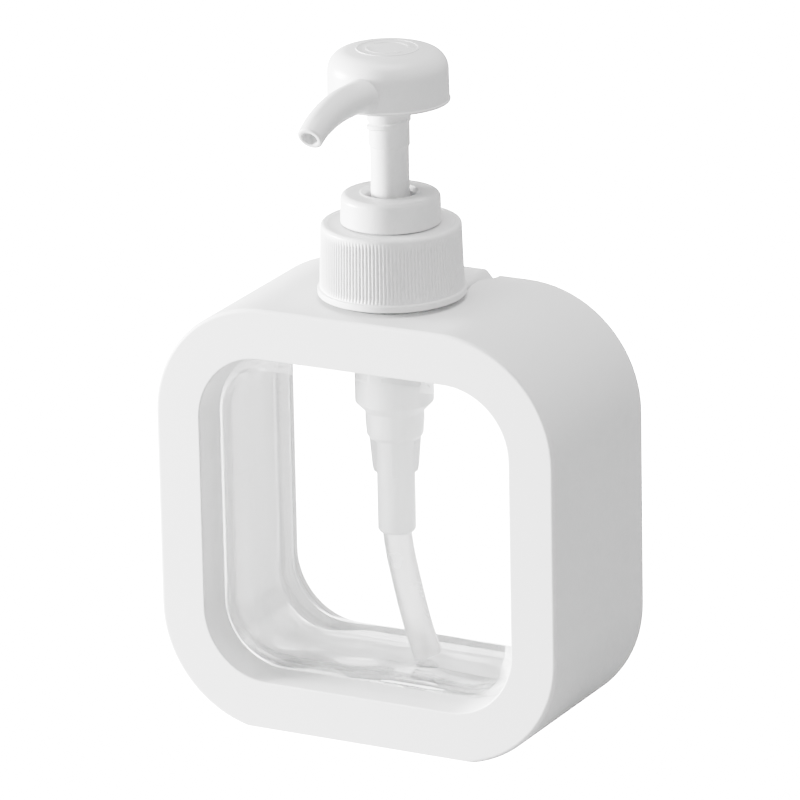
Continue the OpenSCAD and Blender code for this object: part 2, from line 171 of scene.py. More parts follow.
def shade(obj, sharp=30):
    """Smooth shading, with the edges steeper than this many degrees kept sharp."""
    obj.data.shade_smooth()
    obj.data.set_sharp_from_angle(angle=math.radians(sharp))


def place(obj, material, body, node=None, sharp=30):
    """Finishes a piece: shading, material, the body it rides on and the CAD node it stands for."""
    shade(obj, sharp)
    obj.data.materials.clear()
    obj.data.materials.append(material)
    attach(obj, body)
    if node:
        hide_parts(node)
    return obj


def soften(corners, closed=True, detail=6, support=0.12):
    """Rounds an outline's corners, given as (u, v, radius), with a support point beside each arc."""
    out, n = [], len(corners)
    for i, (u, v, radius) in enumerate(corners):
        p = Vector((u, v))
        if radius <= 0 or (not closed and i in (0, n - 1)):
            out.append(p)
            continue
        to_last = (Vector(corners[i - 1][:2]) - p)
        to_next = (Vector(corners[(i + 1) % n][:2]) - p)
        a, b = to_last.normalized(), to_next.normalized()
        half = a.angle(b) / 2
        reach = radius / math.tan(half)
        centre = p + (a + b).normalized() * (radius / math.sin(half))
        start, end = p + a * reach - centre, p + b * reach - centre
        turn = start.angle_signed(end)
        if to_last.length > reach + 2 * support:
            out.append(centre + start + a * support)
        for k in range(detail + 1):
            t = -turn * k / detail
            out.append(centre + Matrix.Rotation(t, 2) @ start)
        if to_next.length > reach + 2 * support:
            out.append(centre + end + b * support)
    return [(q.x, q.y) for q in out]


def turned(name, profile, steps=128, closed=True, y=AXIS_Y, wave=None):
    """A shape turned about the pump's axis from (radius, z) points. wave adds to the radius."""
    shell, rows = Shell(), []
    for r, z in profile:
        if r < 1e-6:
            rows.append(shell.ring([(0, y, z)]) * steps)
            continue
        ring = []
        for i in range(steps):
            a = 2 * math.pi * i / steps
            q = r + (wave(a, r, z) if wave else 0)
            ring.append((q * math.cos(a), y + q * math.sin(a), z))
        rows.append(shell.ring(ring))
    for i in range(len(rows) if closed else len(rows) - 1):
        shell.bridge(rows[i], rows[(i + 1) % len(rows)])
    return shell.make(name)


def corner_loop(half, low, high, r_low, r_high, y, cut=None, arc=20, straight=22):
    """Front-view outline of a round-cornered frame at depth y, always with the same point count.
    cut is the height of a flat base that trims the lower corners."""
    r_low, r_high = max(r_low, 0.02), max(r_high, 0.02)
    trim = 0.0 if cut is None else math.acos(min(1, (low + r_low - cut) / r_low))
    quarter = math.pi / 2
    spans = [(half - r_low, low + r_low, r_low, -quarter + trim, 0),
             (half - r_high, high - r_high, r_high, 0, quarter),
             (r_high - half, high - r_high, r_high, quarter, 2 * quarter),
             (r_low - half, low + r_low, r_low, 2 * quarter, 3 * quarter - trim)]
    corners = []
    for x, z, r, a0, a1 in spans:
        corners.append([(x + r * math.cos(a0 + (a1 - a0) * k / arc),
                         z + r * math.sin(a0 + (a1 - a0) * k / arc)) for k in range(arc + 1)])
    points = []
    for i, corner in enumerate(corners):
        points += corner
        (x0, z0), (x1, z1) = corner[-1], corners[(i + 1) % 4][0]
        points += [(x0 + (x1 - x0) * k / straight, z0 + (z1 - z0) * k / straight)
                   for k in range(1, straight)]
    return [(x, y, z) for x, z in points]


def casing_loop(inset, y, base=None):
    """The casing's outline drawn in by a distance; its flat base is drawn in by the same or by base."""
    in_all = inset + DRAFT * (HALF_D - y) / (2 * HALF_D)
    return corner_loop(HALF_W - in_all, in_all - BASE_CUT, HEIGHT - in_all, CORNER_R - in_all,
                       CORNER_R - in_all, y, cut=inset if base is None else base)


def skin_loop(inset, y):
    """The outer skin, whose edges are crisper along the flat base."""
    return casing_loop(inset, y, base=inset * BASE_SOFT)


def window_loop(grow, y):
    return corner_loop(WIN_HALF + grow, WIN_LOW - grow, WIN_HIGH + grow, WIN_R + grow,
                       WIN_R + grow, y)


def bottle_loop(inset, y, wall=0.0, floor=0.0):
    return corner_loop(BOTTLE_HALF - wall - inset, BOTTLE_LOW + floor + inset,
                       BOTTLE_HIGH - wall - 0.4 * (wall > 0) - inset, BOTTLE_R - wall - inset,
                       BOTTLE_R - wall - inset, y)


def prism(name, plan, z0, z1):
    """A straight block on an (x, y) plan."""
    shell = Shell()
    shell.loft([[(x, y, z) for x, y in plan] for z in (z0, z1)])
    return shell.make(name)


def front_prism(name, outline, y0, y1):
    """A straight block on an (x, z) outline seen from the front."""
    shell = Shell()
    shell.loft([[(x, y, z) for x, z in outline] for y in (y0, y1)])
    return shell.make(name)


def rod(name, x, z, radius, y0, y1, sides=32):
    """A round bar along Y."""
    angles = [2 * math.pi * i / sides for i in range(sides)]
    ring = [(x + radius * math.cos(a), z + radius * math.sin(a)) for a in angles]
    return front_prism(name, ring, y0, y1)


def spline(points, per):
    """A Catmull-Rom curve through the points, whatever their dimension."""
    out, n = [], len(points) - 1
    for k in range(n * per + 1):
        i = min(k // per, n - 1)
        u = k / per - i
        a, b, c, d = (points[min(max(j, 0), n)] for j in (i - 1, i, i + 1, i + 2))
        out.append(tuple(
            0.5 * (2 * q + (r - p) * u + (2 * p - 5 * q + 4 * r - s) * u * u
                   + (3 * q - p - 3 * r + s) * u ** 3)
            for p, q, r, s in zip(a, b, c, d)))
    return out


def plane_tube(centres, radii, to_space, sides=48):
    """Rings of a round tube whose centre line lies in a plane. to_space turns (u, w, side) into x, y, z."""
    rings = []
    for i, (c, r) in enumerate(zip(centres, radii)):
        a, b = centres[max(i - 1, 0)], centres[min(i + 1, len(centres) - 1)]
        d = Vector((b[0] - a[0], b[1] - a[1])).normalized()
        ring = []
        for k in range(sides):
            t = 2 * math.pi * k / sides
            ring.append(to_space(c[0] - d.y * r * math.cos(t), c[1] + d.x * r * math.cos(t),
                                 r * math.sin(t)))
        rings.append(ring)
    return rings


# ---- Materials ----

def new_material(name):
    material = bpy.data.materials.new(name)
    material.use_nodes = True
    nodes = material.node_tree.nodes
    return material, nodes, material.node_tree.links, nodes["Principled BSDF"]


def noise(nodes, links, scale, detail=3.0, stretch=(1, 1, 1)):
    """Noise in the object's own space. scale is in features per metre."""
    coords = nodes.new("ShaderNodeTexCoord")
    mapping = nodes.new("ShaderNodeMapping")
    mapping.inputs["Scale"].default_value = stretch
    texture = nodes.new("ShaderNodeTexNoise")
    texture.inputs["Scale"].default_value = scale
    texture.inputs["Detail"].default_value = detail
    links.new(coords.outputs["Object"], mapping.inputs["Vector"])
    links.new(mapping.outputs["Vector"], texture.inputs["Vector"])
    return texture.outputs["Fac"]


def mapped(nodes, links, value, start, end, low, high):
    """Takes a value from start..end to low..high and holds it there beyond."""
    step = nodes.new("ShaderNodeMapRange")
    for name, number in (("From Min", start), ("From Max", end), ("To Min", low), ("To Max", high)):
        step.inputs[name].default_value = number
    links.new(value, step.inputs["Value"])
    return step.outputs["Result"]


def ranged(nodes, links, value, low, high):
    """Spreads a 0.3 to 0.7 noise over low to high."""
    return mapped(nodes, links, value, 0.3, 0.7, low, high)


def split(nodes, links, output):
    """The x, y and z sockets of a texture coordinate of the object itself."""
    coords = nodes.new("ShaderNodeTexCoord")
    axes = nodes.new("ShaderNodeSeparateXYZ")
    links.new(coords.outputs[output], axes.inputs["Vector"])
    return axes.outputs


def bumped(nodes, links, shader, height, strength, distance):
    bump = nodes.new("ShaderNodeBump")
    bump.inputs["Strength"].default_value = strength
    bump.inputs["Distance"].default_value = distance
    links.new(height, bump.inputs["Height"])
    links.new(bump.outputs["Normal"], shader.inputs["Normal"])


def two_tones(nodes, links, shader, value, dark, light):
    mix = nodes.new("ShaderNodeMix")
    mix.data_type = "RGBA"
    mix.inputs["A"].default_value, mix.inputs["B"].default_value = (*dark, 1), (*light, 1)
    links.new(value, mix.inputs["Factor"])
    links.new(mix.outputs["Result"], shader.inputs["Base Color"])


def moulded_white(name, dark, light, rough, grain, bump):
    """Injection-moulded white plastic: faint cloudiness, uneven gloss and a fine satin grain."""
    material, nodes, links, shader = new_material(name)
    two_tones(nodes, links, shader, noise(nodes, links, 22.0, 2.0), dark, light)
    links.new(ranged(nodes, links, noise(nodes, links, 60.0), *rough), shader.inputs["Roughness"])
    bumped(nodes, links, shader, noise(nodes, links, grain, 2.0), bump, 0.00004)
    shader.inputs["IOR"].default_value = 1.49
    return material


PAINTED_SHADE_FADE = 6.0                       # height over which the painted shade on the bottle's lower part fades out
LIGHT_SHARE = 0.92                    # share of the lamps' light that a wall lets in
THIN_SHARES = 0.1, 0.74               # how much of the base and of the walls is a plain pane
THIN_REAR, THIN_SHOULDER = (3.0, 9.0), (72.0, 80.0)   # y and z over which that share rises
FLAT_PANE = 0.97, 0.999               # how squarely a wall faces front or rear to be a pane


def clear_pet():
    """Clear PET with the faint draw streaks of a blown bottle."""
    material, nodes, links, shader = new_material("clear_pet")
    # Painted shade: the clear plastic is greyer up to BASE_THICK and clears over the fade above it, so the
    # bottle's lower part looks darker
    height = mapped(nodes, links, split(nodes, links, "Object")["Z"], BASE_THICK * MM,
                    (BASE_THICK + PAINTED_SHADE_FADE) * MM, 0.0, 1.0)
    two_tones(nodes, links, shader, height, (0.885, 0.895, 0.89), (0.98, 0.985, 0.982))
    streaks = noise(nodes, links, 40.0, 2.0, stretch=(1, 1, 0.25))
    links.new(ranged(nodes, links, streaks, 0.0, 0.008), shader.inputs["Roughness"])
    bumped(nodes, links, shader, streaks, 0.1, 0.0006)
    shader.inputs["IOR"].default_value = 1.5
    shader.inputs["Transmission Weight"].default_value = 1.0
    let_light_in(nodes, links, thin_walls(nodes, links, shader), LIGHT_SHARE)
    return material


def mixed(nodes, links, share, first, second):
    """Blends two shaders, from the first to the second as the share goes from 0 to 1."""
    mix = nodes.new("ShaderNodeMixShader")
    links.new(share, mix.inputs["Fac"])
    links.new(first, mix.inputs[1])
    links.new(second, mix.inputs[2])
    return mix.outputs["Shader"]


def reckon(nodes, links, operation, *values):
    """One step of arithmetic on sockets or numbers, kept between 0 and 1."""
    step = nodes.new("ShaderNodeMath")
    step.operation, step.use_clamp = operation, True
    for socket, value in zip(step.inputs, values):
        if isinstance(value, float):
            socket.default_value = value
        else:
            links.new(value, socket)
    return step.outputs[0]


def thin_walls(nodes, links, shader):
    """The walls hardly bend what is seen through them, least of all where they are flat panes."""
    point = split(nodes, links, "Object")
    above = mapped(nodes, links, point["Z"], BASE_THICK * MM, (BASE_THICK + 4.0) * MM, *THIN_SHARES)
    rear = mapped(nodes, links, point["Y"], *(y * MM for y in THIN_REAR), 0.0, 1.0)
    shoulder = mapped(nodes, links, point["Z"], *(z * MM for z in THIN_SHOULDER), 0.0, 1.0)
    more = reckon(nodes, links, "MAXIMUM", rear, shoulder)
    above = reckon(nodes, links, "MULTIPLY", above, mapped(nodes, links, more, 0.0, 1.0, 1.0, 1.3))
    facing = reckon(nodes, links, "ABSOLUTE", split(nodes, links, "Normal")["Y"])
    thin = reckon(nodes, links, "MAXIMUM", above, mapped(nodes, links, facing, *FLAT_PANE, 0.0, 1.0))
    path = nodes.new("ShaderNodeLightPath")
    thin = reckon(nodes, links, "SUBTRACT", thin, path.outputs["Is Diffuse Ray"])
    clear = nodes.new("ShaderNodeBsdfTransparent")
    bands = noise(nodes, links, 240.0, 2.0, stretch=(1, 1, 0.05))
    links.new(ranged(nodes, links, bands, 0.91, 1.0), clear.inputs["Color"])
    gloss = nodes.new("ShaderNodeBsdfGlossy")
    gloss.inputs["Roughness"].default_value = 0.05
    links.new(shader.inputs["Normal"].links[0].from_socket, gloss.inputs["Normal"])
    edge_on = nodes.new("ShaderNodeLayerWeight")
    edge_on.inputs["Blend"].default_value = 0.5
    shine = reckon(nodes, links, "POWER", edge_on.outputs["Facing"], 5.0)
    shine = mapped(nodes, links, shine, 0.0, 1.0, 0.06, 0.55)
    pane = mixed(nodes, links, shine, clear.outputs["BSDF"], gloss.outputs["BSDF"])
    return mixed(nodes, links, thin, shader.outputs["BSDF"], pane)


def let_light_in(nodes, links, surface, share):
    """Lets this share of the lamps' direct light through a clear wall."""
    path = nodes.new("ShaderNodeLightPath")
    clear = nodes.new("ShaderNodeBsdfTransparent")
    clear.inputs["Color"].default_value = (share, share, share, 1)
    links.new(mixed(nodes, links, path.outputs["Is Shadow Ray"], surface, clear.outputs["BSDF"]),
              nodes["Material Output"].inputs["Surface"])


def natural_resin(name, dark, light, rough, transmission):
    """Uncoloured resin that lets light through without being clear."""
    material, nodes, links, shader = new_material(name)
    cloud = noise(nodes, links, 90.0, 3.0)
    two_tones(nodes, links, shader, cloud, dark, light)
    links.new(ranged(nodes, links, cloud, *rough), shader.inputs["Roughness"])
    bumped(nodes, links, shader, noise(nodes, links, 400.0, 2.0), 0.2, 0.00004)
    shader.inputs["IOR"].default_value = 1.5
    shader.inputs["Transmission Weight"].default_value = transmission
    return material


def bright_steel(name, rough):
    material, nodes, links, shader = new_material(name)
    two_tones(nodes, links, shader, noise(nodes, links, 500.0), (0.55, 0.56, 0.57),
              (0.68, 0.68, 0.69))
    links.new(ranged(nodes, links, noise(nodes, links, 900.0, 3.0, stretch=(1, 1, 4)), *rough),
              shader.inputs["Roughness"])
    shader.inputs["Metallic"].default_value = 1.0
    return material


def closed_foam():
    material, nodes, links, shader = new_material("seal_foam")
    cells = noise(nodes, links, 2500.0, 4.0)
    two_tones(nodes, links, shader, cells, (0.62, 0.62, 0.61), (0.8, 0.8, 0.79))
    links.new(ranged(nodes, links, cells, 0.7, 0.9), shader.inputs["Roughness"])
    bumped(nodes, links, shader, cells, 0.6, 0.0001)
    return material


CASING = moulded_white("casing_white", (0.79, 0.79, 0.79), (0.82, 0.82, 0.82), (0.42, 0.52),
                       2600.0, 0.35)
PUMP = moulded_white("pump_white", (0.81, 0.81, 0.81), (0.84, 0.84, 0.84), (0.3, 0.4),
                     1400.0, 0.2)
PET = clear_pet()
RESIN = natural_resin("natural_pp", (0.6, 0.605, 0.61), (0.82, 0.825, 0.825), (0.28, 0.4), 0.06)
TUBING = natural_resin("natural_pe", (0.93, 0.93, 0.93), (0.98, 0.98, 0.98), (0.2, 0.3), 0.7)
SPRING = bright_steel("spring_steel", (0.2, 0.35))
BALL = bright_steel("ball_steel", (0.08, 0.16))
FOAM = closed_foam()


# ---- Casing ----

SLOT_HALF, THROAT, LEAD, FLARE = 13.8, 12.6, 14.9, 16.0   # the slot's half widths


def slot_plan(grow, end):
    """Plan of the slot that the neck slides into from behind."""
    half, throat, lead, flare = (v + grow for v in (SLOT_HALF, THROAT, LEAD, FLARE))
    left = [(-half, 7.25), (-throat, 12.5), (-throat, 16.0), (-lead, 19.4), (-flare, end)]
    around = [(half * math.cos(a), AXIS_Y + half * math.sin(a))
              for a in (math.pi + math.pi * k / 48 for k in range(49))]
    return around + [(-x, y) for x, y in left] + left[::-1]


PEGS = [(x, z) for x in (-37.85, 37.85) for z in (11.6, 87.4)]
PEG_R, PEG_HOLE_R, PEG_BOSS_R = 1.2, 1.25, 2.2


def casing_section():
    """Closed section of the frame as (outline function, inset, y), from the outer front edge inwards."""
    front, rear = -HALF_D, HALF_D

    def arc(shape, r, corner, sy, start, end):
        """Quarter round of radius r. corner is the (inset, y) of its centre."""
        out = []
        for k in range(7):
            t = math.radians(start + (end - start) * k / 6)
            out.append((shape, corner[0] - r * math.cos(t), corner[1] + sy * r * math.sin(t)))
        return out

    s = 0.12
    path = [(skin_loop, 0, front + FRONT_R + s)]
    path += arc(skin_loop, FRONT_R, (FRONT_R, front + FRONT_R), -1, 0, 90)
    path += [(skin_loop, FRONT_R + s, front), (window_loop, WIN_EDGE + s, front)]
    path += [(window_loop, WIN_EDGE - WIN_EDGE * math.sin(t), front + WIN_EDGE - WIN_EDGE * math.cos(t))
             for t in (math.pi / 2 * k / 6 for k in range(7))]
    path += [(window_loop, 0, front + WIN_EDGE + s), (window_loop, 0, SEAT_Y - 0.3),
             (window_loop, 0.2, SEAT_Y), (window_loop, LINING, SEAT_Y),
             (window_loop, LINING, front + WALL), (casing_loop, WALL, front + WALL),
             (casing_loop, WALL, rear - 0.25), (casing_loop, WALL - 0.2, rear)]
    path += [(skin_loop, REAR_R + s, rear)]
    path += arc(skin_loop, REAR_R, (REAR_R, rear - REAR_R), 1, 90, 0)
    path += [(skin_loop, 0, rear - REAR_R - s)]
    return path


def build_casing():
    shell = Shell()
    shell.loft([shape(inset, y) for shape, inset, y in casing_section()], closed=True)
    casing = shell.make("casing_shell")
    pocket = prism("pocket", slot_plan(1.6, SEAT_Y - 0.02), WIN_HIGH + LINING / 2,
                   HEIGHT - WALL / 2)
    combine(casing, pocket, "UNION")
    for x, z in PEGS:
        combine(casing, rod("boss", x, z, PEG_BOSS_R, -HALF_D + WALL / 2, SEAT_Y - 1), "UNION")
    combine(casing, prism("slot", slot_plan(0, HALF_D + 2), WIN_HIGH - 6, HEIGHT + 9), "DIFFERENCE")
    for x, z in PEGS:
        combine(casing, rod("hole", x, z, PEG_HOLE_R, SEAT_Y - 9, SEAT_Y + 1), "DIFFERENCE")
    return place(casing, CASING, "casing", "front_shell", sharp=17)


def build_cover():
    edge = WALL + EDGE_GAP
    y0, y1, r = SEAT_Y + 0.01, SEAT_Y + COVER_T, 0.35
    quarter = [math.pi / 2 * k / 5 for k in range(6)]
    rings = [casing_loop(edge, y0), casing_loop(edge, y1 - r - 0.1)]
    rings += [casing_loop(edge + r - r * math.cos(t), y1 - r + r * math.sin(t)) for t in quarter]
    rings += [casing_loop(edge + r + 0.1, y1), window_loop(2 * r + 0.1, y1)]
    rings += [window_loop(2 * r - 2 * r * math.sin(t), y1 - 2 * r + 2 * r * math.cos(t))
              for t in quarter]
    rings += [window_loop(0, y0)]
    shell = Shell()
    shell.loft(rings, closed=True)
    cover = shell.make("rear_cover_plate")
    shell = Shell()
    shell.loft([casing_loop(edge + d, y) for d, y in
                ((0.02, y0 + 1), (1.1, y0 + 1), (1.1, SEAT_Y - 3), (0.3, SEAT_Y - 3),
                 (0.02, SEAT_Y - 2.7))], closed=True)
    rim = shell.make("rim")
    combine(rim, prism("rim_gap", [(-19.5, 10), (19.5, 10), (19.5, 30), (-19.5, 30)],
                       HEIGHT - 12, HEIGHT + 8), "DIFFERENCE")
    combine(cover, rim, "UNION")
    for x, z in PEGS:
        combine(cover, rod("peg", x, z, PEG_R, SEAT_Y - 6, SEAT_Y + 1), "UNION")
    combine(cover, build_tongue(), "UNION")
    return place(cover, CASING, "cover", "rear_cover", sharp=17)


def build_tongue():
    """The tongue that closes the slot behind the neck."""
    end, gap = HALF_D - 0.2, 0.3
    low, mid, flare = THROAT - gap, LEAD - gap, FLARE - gap - 0.3
    root = NECK_R + 0.4
    half = [(low, 16.2), (mid, 19.6), (flare, end)]
    start = NECK_R - 1.5
    sweep = math.acos(start / root)
    back = [(root * math.sin(a), AXIS_Y + root * math.cos(a))
            for a in (sweep - 2 * sweep * k / 24 for k in range(25))]
    half.insert(0, (low, AXIS_Y + start))
    plan = back[::-1] + half + [(-x, y) for x, y in half[::-1]]
    tongue = prism("tongue", plan, WIN_HIGH + 0.1, TONGUE_Z + 2)
    foot = TONGUE_Z - 2.3
    section = soften([(-20, WIN_HIGH - 1, 0), (20, WIN_HIGH - 1, 0), (20, foot, 0), (13.4, foot, 0.5),
                      (11.4, TONGUE_Z, 1.6), (-11.4, TONGUE_Z, 1.6), (-13.4, foot, 0.5),
                      (-20, foot, 0)])
    combine(tongue, front_prism("section", section, 0, HALF_D + 2), "INTERSECT")
    bevel(tongue, 0.35)
    room, low_z = RING_R + 0.4, HEIGHT - 0.3
    ring = turned("ring_room", [(0, low_z), (room, low_z), (room, 105), (0, 105)], closed=False)
    combine(tongue, ring, "DIFFERENCE")
    hollow = prism("hollow", [(-9.5, 14), (9.5, 14), (9.5, SEAT_Y + 0.5), (-9.5, SEAT_Y + 0.5)],
                   WIN_HIGH - 1, WIN_HIGH + 9.5)
    combine(tongue, hollow, "DIFFERENCE")
    return tongue


# ---- Bottle ----

def edge_rounds(radius, front, rear, steps):
    """(inset, y) pairs of a body whose front and rear edges are rounded."""
    quarter = [math.pi / 2 * k / steps for k in range(steps + 1)]
    return ([(radius - radius * math.sin(t), front + radius - radius * math.cos(t)) for t in quarter]
            + [(radius - radius * math.cos(t), rear - radius + radius * math.sin(t)) for t in quarter])


def capped(shell, rings, centre_z):
    """Lofts rings and closes both ends with rings that shrink towards the middle."""
    def shrunk(ring, s):
        return [(x * s, y, centre_z + (z - centre_z) * s) for x, y, z in ring]
    steps = (0.25, 0.6, 0.85, 0.97)
    shell.loft([shrunk(rings[0], s) for s in steps] + rings
               + [shrunk(rings[-1], s) for s in steps[::-1]])


def base_wave(x, y):
    """Waviness of the base's inner surface."""
    return (0.4 * math.sin(x * 0.15 + 0.9 + y * 0.05) + 0.14 * math.sin(x * 0.36 - y * 0.22 + 2.0)
            + 0.3 * math.sin(y * 0.5 + x * 0.05) + 0.03 * math.sin(x * 0.9 + y * 0.7))


def build_bottle():
    middle = (BOTTLE_LOW + BOTTLE_HIGH) / 2
    steps = 12
    rounds = edge_rounds(BOTTLE_EDGE, BOTTLE_FRONT, BOTTLE_REAR, steps)
    seam = [(0, AXIS_Y - 0.35), (-0.05, AXIS_Y - 0.15), (-0.08, AXIS_Y), (-0.05, AXIS_Y + 0.15),
            (0, AXIS_Y + 0.35)]
    shell = Shell()
    capped(shell, [bottle_loop(i, y) for i, y in rounds[:steps + 1] + seam + rounds[steps + 1:]],
           middle)
    bottle = shell.make("bottle_clear")
    ring_top = RING_Z + RING_T
    neck = soften([(0, BOTTLE_HIGH - 1, 0), (14.2, BOTTLE_HIGH - 1, 0), (14.2, BOTTLE_HIGH, 0),
                   (NECK_R, BOTTLE_HIGH, 0.9), (NECK_R, RING_Z, 0.2), (RING_R, RING_Z, 0.2),
                   (RING_R, ring_top, 0.2), (NECK_R, ring_top, 0.3), (NECK_R, NECK_TOP, 0.4),
                   (0, NECK_TOP, 0)], closed=False)
    combine(bottle, turned("neck", neck, closed=False), "UNION")
    combine(bottle, build_cavity(), "DIFFERENCE")
    return place(bottle, PET, "bottle_body", "bottle", sharp=40)


def build_cavity():
    """The inside of the bottle: a soft room with a wavy floor, and the bore of the neck."""
    wall, floor, soft = BOTTLE_WALL, BOTTLE_FLOOR, BOTTLE_EDGE - BOTTLE_WALL
    front, rear = BOTTLE_FRONT + wall, BOTTLE_REAR - wall
    between = [(0, front + soft + (rear - front - 2 * soft) * k / 14) for k in range(1, 14)]
    rounds = edge_rounds(soft, front, rear, 8)
    pairs = rounds[:9] + between + rounds[9:]
    rings = []
    for inset, y in pairs:
        ring = []
        for x, _, z in bottle_loop(inset, y, wall, floor):
            low = max(0.0, 1 - (z - BOTTLE_LOW - floor) / 12) ** 2
            ring.append((x, y, z + low * base_wave(x, y)))
        rings.append(ring)
    shell = Shell()
    capped(shell, rings, (BOTTLE_LOW + BOTTLE_HIGH) / 2)
    cavity = shell.make("cavity")
    ceiling = BOTTLE_HIGH - wall - 0.4
    bore = soften([(0, ceiling - 2, 0), (13.6, ceiling - 2, 0), (13.6, ceiling - 0.02, 0),
                   (NECK_BORE, ceiling - 0.02, 2.0), (NECK_BORE, NECK_TOP + 3, 0),
                   (0, NECK_TOP + 3, 0)], closed=False)
    combine(cavity, turned("bore", bore, closed=False), "UNION")
    return cavity


# ---- Pump ----

RIBS = 120


def rib_wave(a, r, z):
    """Fine upright ribs on the closure's side, fading at both ends."""
    if r < 15.6:
        return 0.0
    fade = min(1.0, max(0.0, (z - CLOSURE_Z - 1.7) / 0.5), max(0.0, (CLOSURE_TOP - 1 - z) / 1.6))
    return -0.4 * fade * (0.5 - 0.5 * math.cos(a * RIBS)) ** 2


def build_closure():
    low, top, body_r = CLOSURE_Z, CLOSURE_TOP, 16.25
    side, count = top - low - 1.6, 10
    corners = [(14.0, low, 0.1), (CLOSURE_R - 0.05, low, 0.25), (CLOSURE_R, low + 1.4, 0.3),
               (body_r, low + 1.6, 0.1)]
    corners += [(body_r + (CLOSURE_TOP_R - body_r) * k / count, low + 1.6 + side * k / count, 0)
                for k in range(1, count)]
    corners += [(CLOSURE_TOP_R, top, 0.8), (14.7, top, 0.3), (14.2, top - 0.2, 0.3),
                (9.7, top - 0.2, 0.1), (9.7, top - 1.5, 0), (14.0, top - 1.5, 0)]
    profile = soften(corners)
    closure = turned("closure_ribbed", profile, steps=RIBS * 8, wave=rib_wave)
    return place(closure, PUMP, "closure_body", "closure", sharp=50)


def build_lock_ring():
    profile = soften([
        (STEM_R + 0.05, 113.2, 0.1), (7.85, 113.2, 0.2), (7.85, 119.7, 0), (9.45, 119.7, 0),
        (9.45, LOCK_Z, 0), (LOCK_R, LOCK_Z, 0.2), (LOCK_R - 0.1, LOCK_TOP, 1.3),
        (LOCK_BORE + 1.2, LOCK_TOP, 0.1), (LOCK_BORE + 1.0, LOCK_TOP + 0.15, 0.08),
        (LOCK_BORE + 0.6, LOCK_TOP + 0.15, 0.12), (LOCK_BORE + 0.05, LOCK_TOP - 0.8, 0.2),
        (LOCK_BORE, LOCK_TOP - 2.5, 0.2), (LOCK_BORE, 116.6, 0), (STEM_R + 0.05, 116.6, 0.1)],
        detail=8)
    ring = turned("lock_collar", profile, steps=144)
    return place(ring, PUMP, "pump_body", "lock_ring")


def build_stem():
    """The stem with its step, and the short thread that screws down into the lock ring."""
    top = SOCKET_Z - 0.1
    profile = soften([(2.6, 105.2, 0.1), (STEM_R, 105.2, 0.2), (STEM_R, STEP_Z, 0.05),
                      (UPPER_STEM_R, STEP_Z + 0.2, 0.08), (UPPER_STEM_R, 140.5, 0.1),
                      (4.9, 140.75, 0.12), (4.9, 143.7, 0), (UPPER_STEM_R, 143.7, 0),
                      (UPPER_STEM_R, top, 0), (2.6, top, 0)])
    stem = turned("stem_tube", profile, steps=96)
    per, turns, lead, low, first = 96, 0.55, 4.2, 139.05, math.radians(185)
    count = round(per * turns)
    shell, rings = Shell(), []
    for i in range(count + 1):
        a = first + 2 * math.pi * i / per
        z = low + lead * i / per
        grow = min(1.0, i / 14, (count - i) / 14)
        crest = UPPER_STEM_R - 0.1 + 0.95 * grow
        rings.append([(r * math.cos(a), AXIS_Y + r * math.sin(a), z + dz) for r, dz in
                      ((UPPER_STEM_R - 0.3, -0.9), (crest, -0.4), (crest, 0.4),
                       (UPPER_STEM_R - 0.3, 0.9))])
    shell.loft(rings)
    merge(stem, shell.make("thread"))
    return place(stem, PUMP, "plunger", "stem")


def build_cap():
    """The domed cap: flared lip, hollow underside and a boss round the stem."""
    socket = UPPER_STEM_R + 0.02
    profile = soften([
        (0, 157.3, 0), (6.4, 157.22, 0), (8.8, 157.0, 0), (13.45, 156.4, 4.6),
        (13.58, 148.2, 2.0), (13.6, 145.95, 0.1), (13.8, 145.75, 0.12), (13.8, 145.2, 0.25),
        (13.2, 145.2, 0.2), (12.1, 146.4, 0.8), (11.9, 151.8, 1.5), (5.4, 151.8, 0.8),
        (5.4, 143.9, 0.25), (socket, 143.9, 0.1), (socket, SOCKET_Z, 0),
        (2.6, SOCKET_Z, 0), (2.6, 150.6, 0), (0, 150.6, 0)], closed=False, detail=10)
    return turned("pump_head", profile, steps=144, closed=False)


def build_spout():
    """The curved spout, a little fuller where it leaves the cap, with a rounded mouth."""
    route = spline(SPOUT, 6)
    bore = 1.8
    centres, radii = [], []
    for y, z, r in route:
        root = max(0.0, 1 - max(0.0, -15.4 - y) / 1.4)
        centres.append((y, z))
        radii.append(r + 0.5 * root ** 2)
    (y0, z0), (y1, z1) = centres[-2], centres.pop()
    d = Vector((y1 - y0, z1 - z0)).normalized()
    tip, end = Vector((y1, z1)), radii.pop()
    for along, inset in ((-0.38, 0.02), (-0.2, 0.1), (-0.08, 0.25), (-0.02, 0.4), (0, 0.5)):
        centres.append(tuple(tip + d * along))
        radii.append(end - inset)
    for along, r in ((0, bore + 0.15), (-0.08, bore + 0.02), (-0.3, bore), (-3.5, bore),
                     (-6.5, bore * 0.9)):
        centres.append(tuple(tip + d * along))
        radii.append(r)
    shell = Shell()
    rings = []
    for i, (c, r) in enumerate(zip(centres, radii)):
        if i >= len(route) - 2:
            u = d
        else:
            a, b = centres[max(i - 1, 0)], centres[i + 1]
            u = Vector((b[0] - a[0], b[1] - a[1])).normalized()
        rings.append([(r * math.sin(t), c[0] - u.y * r * math.cos(t), c[1] + u.x * r * math.cos(t))
                      for t in (2 * math.pi * k / 64 for k in range(64))])
    shell.loft(rings)
    return shell.make("spout")


